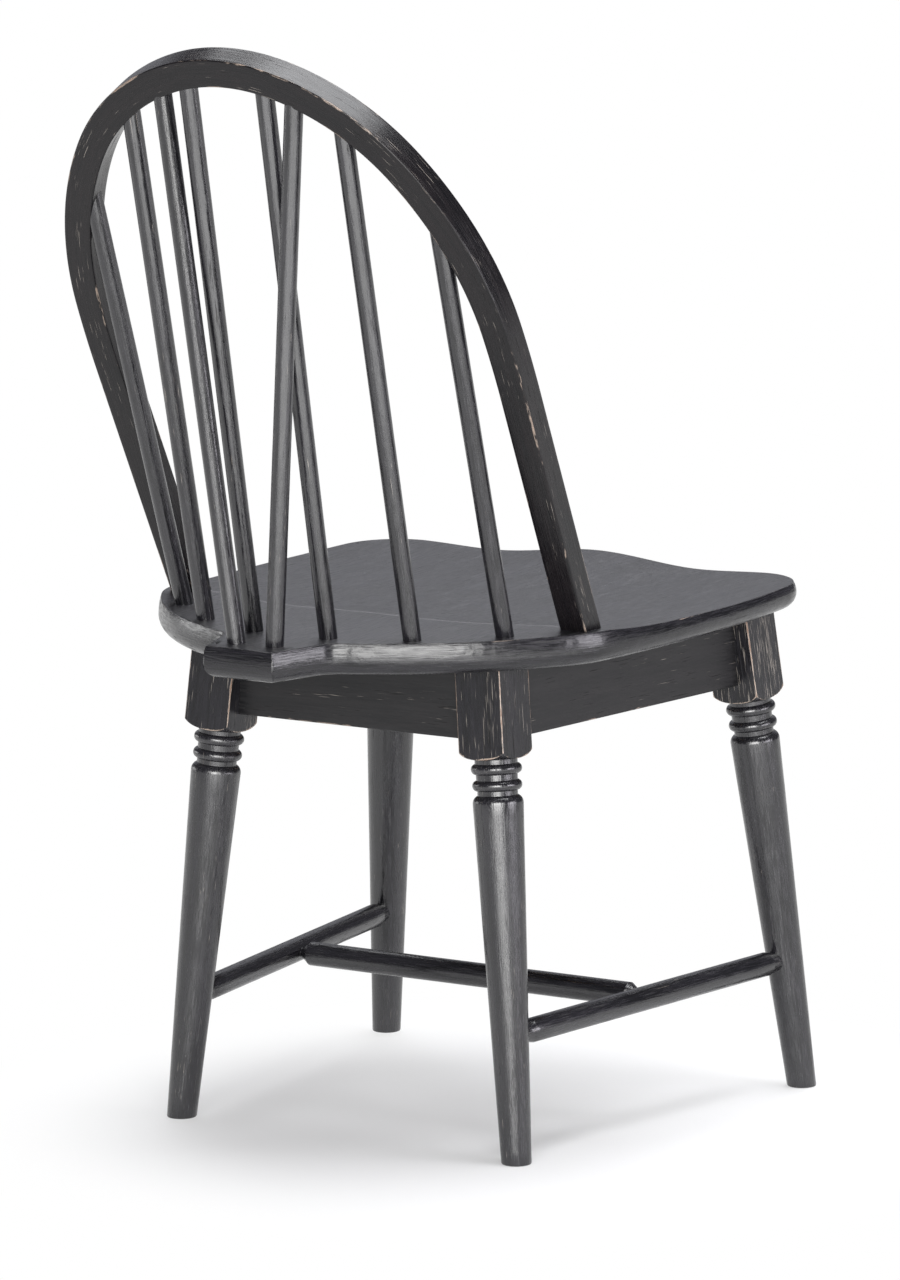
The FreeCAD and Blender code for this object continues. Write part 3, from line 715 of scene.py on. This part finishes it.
spindleShape = {
    "foot": 0.0078, "head": 0.008, "arc": 0.211, "arcMiddle": 0.0404, "sink": 0.016,
    "fan": ((10.4, 0.0386), (30.3, 0.1074), (51.8, 0.176)),  # turn round the arc, and the head's distance out
    "braceFoot": (0.0196, 0.3007), "braceHead": 0.0681, "sides": 40, "ringStep": 0.02,
}


def stickLine(start, end, widths, count, along):
    line = [start.lerp(end, number / count) for number in range(count + 1)]
    growth = (widths[1] - widths[0]) / count
    return line, [widths[0] + growth * number for number in range(count + 1)], along


def spindleLines(shape):
    places = []
    for turn, head in shape["fan"]:
        angle = radians(turn)
        across, deep = shape["arc"] * sin(angle), shape["arcMiddle"] + shape["arc"] * cos(angle)
        places.append((Vector((across, deep, stance["seatTop"])), head))
    places.append((Vector((*shape["braceFoot"], stance["seatTop"])), shape["braceHead"]))
    lines = []
    for number, (foot, head) in enumerate(places):
        for sign in (1, -1):
            start = Vector((sign * foot.x, foot.y, foot.z))
            end = onHoop(sign * head)
            start = start - (end - start).normalized() * shape["sink"]
            count = max(2, round((end - start).length / shape["ringStep"]))
            along = grainStart["spindle"] * number + grainStart["sides"] * sign
            lines.append(stickLine(start, end, (shape["foot"], shape["head"]), count, along))
    return lines


spindleNames = ("inner", "middle", "outer", "brace")
spindleNodes = [side + "_spindle_" + name for name in spindleNames for side in ("right", "left")]
for node, line in zip(spindleNodes, spindleLines(spindleShape)):
    turnStick(node + "_turned", line, spindleShape["sides"], node)
print("spindles turned")


# the legs

legShape = {
    "half": 0.02275, "corner": 0.001, "splay": 5.25, "rake": 4.5, "intoSeat": 0.004,
    "back": (0.1356, 0.1473), "front": (0.182, -0.173),
    "blockDrop": 0.0735, "blockReach": 0.0335, "blockRound": 0.017,
    "beadRadius": 0.0047, "beadHalf": 0.0046, "beadDrop": 0.0912, "beadStep": 0.0141,
    "rings": (0.0183, 0.0178, 0.0173), "ringLength": 0.0038, "beadWear": 0.55,
    "vase": 0.0217, "vaseDrop": 0.1205, "vaseRound": 0.0075,
    "foot": 0.0128, "footAt": 0.435, "footRound": 0.0014,
    "blockRows": (0.0, 0.12, 0.3, 0.5, 0.7, 0.85, 0.96, 1.0), "blockArcSteps": 60, "arcRows": 10,
    "beadSteps": 12, "vaseSteps": 8, "taperRows": 29,
    "shoulderWear": 0.75, "cornerWearAndHighlightTurn": 3.2,  # in degrees, to each side of the block's corner
}


def arcPoints(start, end, radius, steps):
    # points after start on a short arc that bulges away from the axis on the way down
    start, end = Vector(start), Vector(end)
    chord = end - start
    rise = sqrt(radius ** 2 - chord.length_squared / 4)
    normal = Vector((chord.y, -chord.x)).normalized()
    centre = (start + end) / 2 + normal * rise
    first = start - centre
    turn = -2 * asin(chord.length / 2 / radius)
    points = []
    for number in range(1, steps + 1):
        angle = turn * number / steps
        points.append(centre + Matrix.Rotation(angle, 2) @ first)
    return points


def legTurning(shape):
    # the turned outline from the block down to the vase, as ((radius, height), wear)
    high, middle, low = shape["rings"]
    bead, half = shape["beadDrop"], shape["beadHalf"]
    points = [((high, -bead + half + shape["ringLength"]), 0.0), ((high, -bead + half), 0.0)]
    start = Vector((high, -bead + half))
    for radius, drop in ((middle, bead), (low, bead + shape["beadStep"])):
        end = Vector((radius, -drop - half))
        arc = arcPoints(start, end, shape["beadRadius"], shape["beadSteps"])
        for number, spot in enumerate(arc, 1):
            worn = shape["beadWear"] * sin(pi * number / shape["beadSteps"]) ** 2
            points.append(((spot.x, spot.y), worn))
        gap = shape["beadStep"] - half if radius == middle else half + shape["ringLength"]
        start = Vector((radius, -drop - gap))
        points.append(((start.x, start.y), 0.0))
    arc = arcPoints(start, (shape["vase"], -shape["vaseDrop"]), shape["vaseRound"], shape["vaseSteps"])
    points += [((p.x, p.y), 0.2) for p in arc]
    return points


def fromSide(angle):
    # the turn from the middle of the square's nearest side
    return abs((angle + pi / 4) % (pi / 2) - pi / 4)


def squareReach(angle, half, corner):
    # how far the square with rounded corners reaches at an angle from the middle of a side
    turned = fromSide(angle)
    c, s = cos(turned), sin(turned)
    reach = half / c
    inner = half - corner
    if s * reach > inner:
        b = (c + s) * inner
        reach = b + sqrt(b * b - 2 * inner * inner + corner * corner)
    return reach


# closer together where the block's corners are
legSteps = (0, 6, 12, 18, 24, 30, 35, 39, 41.5, 43, 44, 45, 46, 47, 48.5, 51, 55, 60, 66, 72, 78, 84)
legAngles = [radians(90 * quarter + step) for quarter in range(4) for step in legSteps]


def legTaper(shape, z):
    part = min(1.0, (-z - shape["vaseDrop"]) / (shape["footAt"] - shape["vaseDrop"]))
    return shape["vase"] + (shape["foot"] - shape["vase"]) * part


def slope(angle):
    return tan(radians(angle))


def buildLeg(end, sign, shape, along):
    outward, apart = slope(shape["splay"]), slope(shape["rake"])
    x, y = shape[end]
    start = Vector((sign * x, y, underSeat))
    way = Vector((sign * outward, apart if end == "back" else -apart, -1)).normalized()
    up = -way
    right = (Vector((1, 0, 0)) - up * up.x).normalized()
    local = Matrix((right, up.cross(right), up)).transposed().to_4x4()
    place = stand @ Matrix.Translation(start) @ local
    high = -shape["beadDrop"] + shape["beadHalf"] + shape["ringLength"]
    blockStart = Vector((shape["blockReach"], -shape["blockDrop"]))
    blockEnd = (shape["rings"][0], high)
    blockArc = [blockStart] + arcPoints(blockStart, blockEnd, shape["blockRound"], shape["blockArcSteps"])
    turning = legTurning(shape)
    upright = (place.to_3x3() @ Vector((0, 0, 1))).z
    axisToFloor = -place.translation.z / upright
    columns = []
    for angle in legAngles:
        reach = squareReach(angle, shape["half"], shape["corner"])
        column = []
        last = next(n for n in range(len(blockArc) - 1) if blockArc[n + 1].x < reach)
        before, after = blockArc[last], blockArc[last + 1]
        turnedPart = (before.x - reach) / (before.x - after.x)
        meet = before.lerp(after, turnedPart)
        toCorner = degrees(fromSide(angle) - pi / 4)
        # each corner of the block gets real rub-through to tan and a strong pale line, which is a painted
        # highlight
        cornerWearAndHighlight = max(0.0, 1 - abs(toCorner) / shape["cornerWearAndHighlightTurn"])
        for part in shape["blockRows"]:
            z = shape["intoSeat"] + (meet.y - shape["intoSeat"]) * part
            column.append((reach, z, max(cornerWearAndHighlight, shape["shoulderWear"] if part == 1.0 else 0.0)))
        rest = [meet] + blockArc[last + 1:]
        for number in range(1, shape["arcRows"] + 1):
            position = (len(rest) - 1) * number / shape["arcRows"]
            whole = min(int(position), len(rest) - 2)
            spot = rest[whole].lerp(rest[whole + 1], position - whole)
            column.append((spot.x, spot.y, 0.0))
        for (radius, z), wear in turning[1:]:
            column.append((radius, z, wear))
        # the taper runs on to the floor, with a small round at its rim
        direction = Vector((cos(angle), sin(angle), 0))
        lowest = shape["footRound"]
        toFloor = -(place @ (direction * shape["foot"])).z / upright
        rows, start = shape["taperRows"], -shape["vaseDrop"]
        for number in range(1, rows + 1):
            z = start + (toFloor + lowest - start) * number / rows
            column.append((legTaper(shape, z), z, 0.0 if number < rows else 0.5))
        foot = legTaper(shape, toFloor)
        column.append((foot - 0.3 * lowest, toFloor + 0.3 * lowest, 0.8))
        column.append((foot - lowest, toFloor + (axisToFloor - toFloor) * lowest / foot, 0.5))
        column.append((0.0, axisToFloor, 0.0))
        columns.append(column)
    rows = len(columns[0])
    points, wear = [], []
    for row in range(rows):
        for angle, column in zip(legAngles, columns):
            radius, z, edge = column[row]
            points.append((radius * cos(angle), radius * sin(angle), z))
            wear.append(edge)
    count = len(legAngles)
    faces = [tuple(reversed(face)) for face in ringFaces(rows, count)]
    faces.append(tuple(range(count)))
    grain = [(px, py, pz + along) for px, py, pz in points]
    mesh = meshFrom(points, faces, wear, grain, place)
    blockFaces = (len(shape["blockRows"]) - 1) * count
    square = [number < blockFaces or number == len(faces) - 1 for number in range(len(faces))]
    paintFaces(mesh, ("leg", "block"), square)
    mergeMesh(mesh)
    return mesh


legs = [(end, side, sign) for end in ("back", "front") for side, sign in (("right", 1), ("left", -1))]
for number, (end, side, sign) in enumerate(legs):
    mesh = buildLeg(end, sign, legShape, grainStart["leg"] * number)
    makePiece("%s_%s_turnedLeg" % (end, side), mesh, ["%s_%s_leg" % (end, side)], 28)
print("legs turned")


# the aprons and the stretchers

apronShape = {"thick": 0.020, "high": 0.067, "corner": 0.001, "intoBlock": 0.010, "steps": 24, "cuts": 12}
stretcherShape = {
    "high": 0.1116, "radius": 0.0106, "tenon": 0.0075, "shoulder": 0.0087, "shoulderAt": 0.002,
    "taper": 0.020, "taperRound": 0.060, "taperSteps": 8,
    "neck": 0.0045, "neckStart": 0.003, "proud": 0.001, "cone": 0.009, "steps": 16, "sides": 48,
}


def legPoint(end, sign, level):
    # where a leg's middle line passes a level
    x, y = legShape[end]
    drop = underSeat - level
    apart = slope(legShape["rake"]) * (1 if end == "back" else -1)
    return Vector((sign * (x + drop * slope(legShape["splay"])), y + drop * apart, level))


apronLevel = underSeat - apronShape["high"] / 2
corner = {(end, sign): legPoint(end, sign, apronLevel) for end in ("back", "front") for sign in (1, -1)}
aprons = {
    "back_apron": (("back", -1), ("back", 1)), "front_apron": (("front", -1), ("front", 1)),
    "right_apron": (("front", 1), ("back", 1)), "left_apron": (("front", -1), ("back", -1)),
}
for number, (node, (first, last)) in enumerate(aprons.items()):
    run = (corner[last] - corner[first]).normalized() * (legShape["half"] - apronShape["intoBlock"])
    ends = corner[first] + run, corner[last] - run
    line = stickLine(*ends, (1.0, 1.0), apronShape["steps"], grainStart["apron"] * number)
    mesh = grow(line, squaredStick, {
        "Width": apronShape["thick"], "Depth": apronShape["high"], "Corner": apronShape["corner"],
        "Cuts": apronShape["cuts"], "Finish": paints["rail"]})
    makePiece(node + "_board", mesh, [node])


def bothEnds(length, shape, near):
    # one end's profile, the straight run, and the same end mirrored
    start, steps = near[-1][0], shape["steps"]
    middle = [(start + (length - 2 * start) * n / steps, shape["radius"]) for n in range(1, steps)]
    return near + middle + [(length - distance, radius) for distance, radius in reversed(near)]


def stretcherProfile(length, shape):
    # distances along a side stretcher and the radius there, rounded off to a tenon at both ends
    first = Vector((shape["shoulder"], shape["tenon"] + shape["shoulderAt"]))
    last = (shape["radius"], shape["tenon"] + shape["taper"])
    arc = arcPoints(first, last, shape["taperRound"], shape["taperSteps"])
    return bothEnds(length, shape, [(0.0, shape["tenon"])] + [(p.y, p.x) for p in [first] + arc])


def medialProfile(length, shape):
    reach, neck = shape["radius"] + shape["proud"], shape["neck"]
    near = [(shape["neckStart"], neck), (reach, neck), (reach + shape["cone"], shape["radius"])]
    return bothEnds(length, shape, near)


def profileLine(start, end, profile, along):
    way = (end - start).normalized()
    return [start + way * distance for distance, _ in profile], [radius for _, radius in profile], along


middles = {}
for side, sign in (("right", 1), ("left", -1)):
    front, back = [legPoint(end, sign, stretcherShape["high"]) for end in ("front", "back")]
    middles[side] = (front + back) / 2
    profile = stretcherProfile((back - front).length, stretcherShape)
    line = profileLine(front, back, profile, grainStart["stretcher"] + sign)
    turnStick(side + "_stretcher_turned", line, stretcherShape["sides"], side + "_stretcher", 25)
span = (middles["right"] - middles["left"]).length
profile = medialProfile(span, stretcherShape)
line = profileLine(middles["left"], middles["right"], profile, grainStart["medial"])
turnStick("medial_stretcher_turned", line, stretcherShape["sides"], "medial_stretcher", 25)
print("aprons and stretchers fitted")


# what stays as the frame has it: the glue blocks, the dowels and the screws

hiddenLook = {
    "dark": (0.30, 0.17, 0.085), "light": (0.46, 0.30, 0.16), "pore": (0.14, 0.075, 0.035),
    "rough": (0.55, 0.25), "pores": 0.45, "flecks": 0.2, "turn": (1.57, 0, 0.78), "bump": 0.0002,
    "zinc": ((0.42, 0.38, 0.28), (0.66, 0.62, 0.52)), "zincCloud": (900, 3.0), "zincRough": (0.22, 0.3),
}


def bareWood(name, look):
    material, tree, shader = newMaterial(name)
    place = objectPlace(tree)
    turned = outputOf(tree, "ShaderNodeMapping", {"Vector": place, "Rotation": look["turn"]})
    grain = useGroup(tree, openGrain, {
        "Place": turned, "Pore Amount": look["pores"], "Fleck Amount": look["flecks"]})
    colour = mixColour(tree, grain["Tone"], look["dark"], look["light"])
    colour = mixColour(tree, grain["Pores"], colour, look["pore"])
    least, more = look["rough"]
    relief = {"Height": grain["Height"], "Strength": 0.5, "Distance": look["bump"]}
    bump = outputOf(tree, "ShaderNodeBump", relief)
    setInputs(tree, shader, {
        "Base Color": colour, "Roughness": plus(least, times(grain["Tone"], more)), "Normal": bump})
    return material


def screwSteel(name, look):
    material, tree, shader = newMaterial(name)
    place = objectPlace(tree)
    cloud = noise(tree, place, *look["zincCloud"])
    least, more = look["zincRough"]
    setInputs(tree, shader, {
        "Base Color": mixColour(tree, cloud, *look["zinc"]), "Roughness": plus(least, times(cloud, more)),
        "Metallic": 1.0})
    return material


bare, steel = bareWood("bareWood", hiddenLook), screwSteel("screwSteel", hiddenLook)
for node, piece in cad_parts.items():
    if node.startswith("corner_block_") or node in ("apron_dowels", "seat_screws"):
        piece.data.materials.clear()
        piece.data.materials.append(steel if node.endswith("_screws") else bare)
print("hidden parts finished")


# floor, light and camera

shot = {
    "azimuth": 33.7976, "elevation": 9.6258, "distance": 7.6542, "target": (0.00433, -0.0605, 0.4112),
    "roll": -0.51, "focalPixels": 8793.4, "frameHeight": 1280, "sensor": 36.0,
}


def towards(azimuth, elevation):
    # the direction that stands so many degrees round from +Y towards -X, and so many above the floor
    azimuth, elevation = radians(azimuth), radians(elevation)
    level = cos(elevation)
    return Vector((-sin(azimuth) * level, cos(azimuth) * level, sin(elevation)))


studio = {
    "floorSize": 30, "floorTone": 0.56, "lift": 0.30,
    "fadeCentre": (-0.06, -0.03), "fadeFrom": 0.20, "fadeTo": 0.50,
    "sky": (0.115, 0.115, 0.128), "aimHeight": 0.45,
    # name, turn from the camera to its right, elevation, distance, width, height, brightness, colour
    "lamps": (
        ("behindCamera", -4, 12, 9.0, 6.6, 4.2, 11.5, (1.0, 0.995, 0.985)),
        ("cameraRight", 64, 8, 4.0, 2.3, 1.3, 7.4, (0.96, 0.93, 1.0)),
        ("overhead", 100, 80, 3.0, 2.2, 2.2, 9.0, (0.97, 0.98, 1.0)),
        ("farTop", 172, 52, 3.4, 2.4, 1.3, 4.2, (0.97, 0.98, 1.0)),
        ("farLeft", -122, 5, 4.0, 1.8, 0.8, 3.6, (1.0, 1.0, 1.0)),
        ("backdrop", 180, 18, 5.0, 6.0, 2.0, 0.42, (0.92, 0.93, 1.0)),
    ),
    # a bright board that lies on the floor before the camera
    "reflector": {"turn": 6, "distance": 2.3, "height": 0.01, "width": 3.4, "depth": 1.9, "brightness": 2.6},
}


def layFloor(setup):
    half = setup["floorSize"] / 2
    mesh = bpy.data.meshes.new("floor")
    corners = [(-half, -half, 0), (half, -half, 0), (half, half, 0), (-half, half, 0)]
    mesh.from_pydata(corners, [], [(0, 1, 2, 3)])
    floor = addObject("floor", mesh)
    material, tree, _ = newMaterial("paleFloor")
    tree.nodes.clear()
    tone = setup["floorTone"]
    matte = outputOf(tree, "ShaderNodeBsdfDiffuse", {"Color": (tone, tone, tone, 1)})
    glow, white = [outputOf(tree, "ShaderNodeEmission", {"Color": (1, 1, 1, 1), "Strength": strength})
                   for strength in (setup["lift"], 1.0)]
    path = addNode(tree, "ShaderNodeLightPath").outputs
    seen = mathNode("MAXIMUM", path["Is Camera Ray"], path["Is Glossy Ray"])
    seen = mathNode("MAXIMUM", seen, path["Is Transmission Ray"])
    place = objectPlace(tree)
    ends = {0: place, 1: (*setup["fadeCentre"], 0)}
    distance = addNode(tree, "ShaderNodeVectorMath", ends, operation="DISTANCE").outputs["Value"]
    far = times(seen, band(tree, distance, setup["fadeFrom"], setup["fadeTo"]))
    lifted = outputOf(tree, "ShaderNodeAddShader", {0: matte, 1: glow})
    near = outputOf(tree, "ShaderNodeMixShader", {0: seen, 1: matte, 2: lifted})
    whole = outputOf(tree, "ShaderNodeMixShader", {0: far, 1: near, 2: white})
    addNode(tree, "ShaderNodeOutputMaterial", {"Surface": whole})
    mesh.materials.append(material)


def hangLamp(name, place, turned, width, height, brightness, colour=(1, 1, 1)):
    # the energy grows with the lamp's area, so its reflection is as bright at any size
    lamp = bpy.data.lights.new(name, "AREA")
    lamp.shape = "RECTANGLE"
    lamp.size, lamp.size_y = width, height
    lamp.energy = brightness * pi * width * height
    lamp.color = colour
    addObject(name, lamp).matrix_world = Matrix.Translation(place) @ turned


def setLamps(setup):
    for name, turn, elevation, distance, width, height, brightness, colour in setup["lamps"]:
        away = towards(shot["azimuth"] + turn, elevation)
        place = Vector((0, 0, setup["aimHeight"])) + away * distance
        turned = away.to_track_quat("Z", "Y").to_matrix().to_4x4()
        hangLamp(name, place, turned, width, height, brightness, colour)
    panel = setup["reflector"]
    turn = shot["azimuth"] + panel["turn"]
    faceUp = Matrix.Rotation(radians(turn), 4, "Z") @ Matrix.Rotation(pi, 4, "X")
    place = towards(turn, 0) * panel["distance"] + Vector((0, 0, panel["height"]))
    hangLamp("reflector", place, faceUp, panel["width"], panel["depth"], panel["brightness"])
    world = bpy.data.worlds.new("studio")
    world.use_nodes = True
    world.node_tree.nodes["Background"].inputs["Color"].default_value = (*setup["sky"], 1)
    scene.world = world


def placeCamera(setup):
    back = towards(setup["azimuth"], setup["elevation"])
    spin = Matrix.Rotation(radians(setup["roll"]), 3, back)
    right = spin @ Vector((0, 0, 1)).cross(back).normalized()
    camera = bpy.data.cameras.new("camera")
    camera.sensor_width = setup["sensor"]
    camera.lens = setup["focalPixels"] * setup["sensor"] / setup["frameHeight"]
    camera.clip_end = 100
    holder = addObject("camera", camera)
    turn = Matrix((right, back.cross(right), back)).transposed().to_4x4()
    holder.matrix_world = Matrix.Translation(Vector(setup["target"]) + back * setup["distance"]) @ turn
    scene.camera = holder


layFloor(studio)
setLamps(studio)
placeCamera(shot)
print("studio lit")
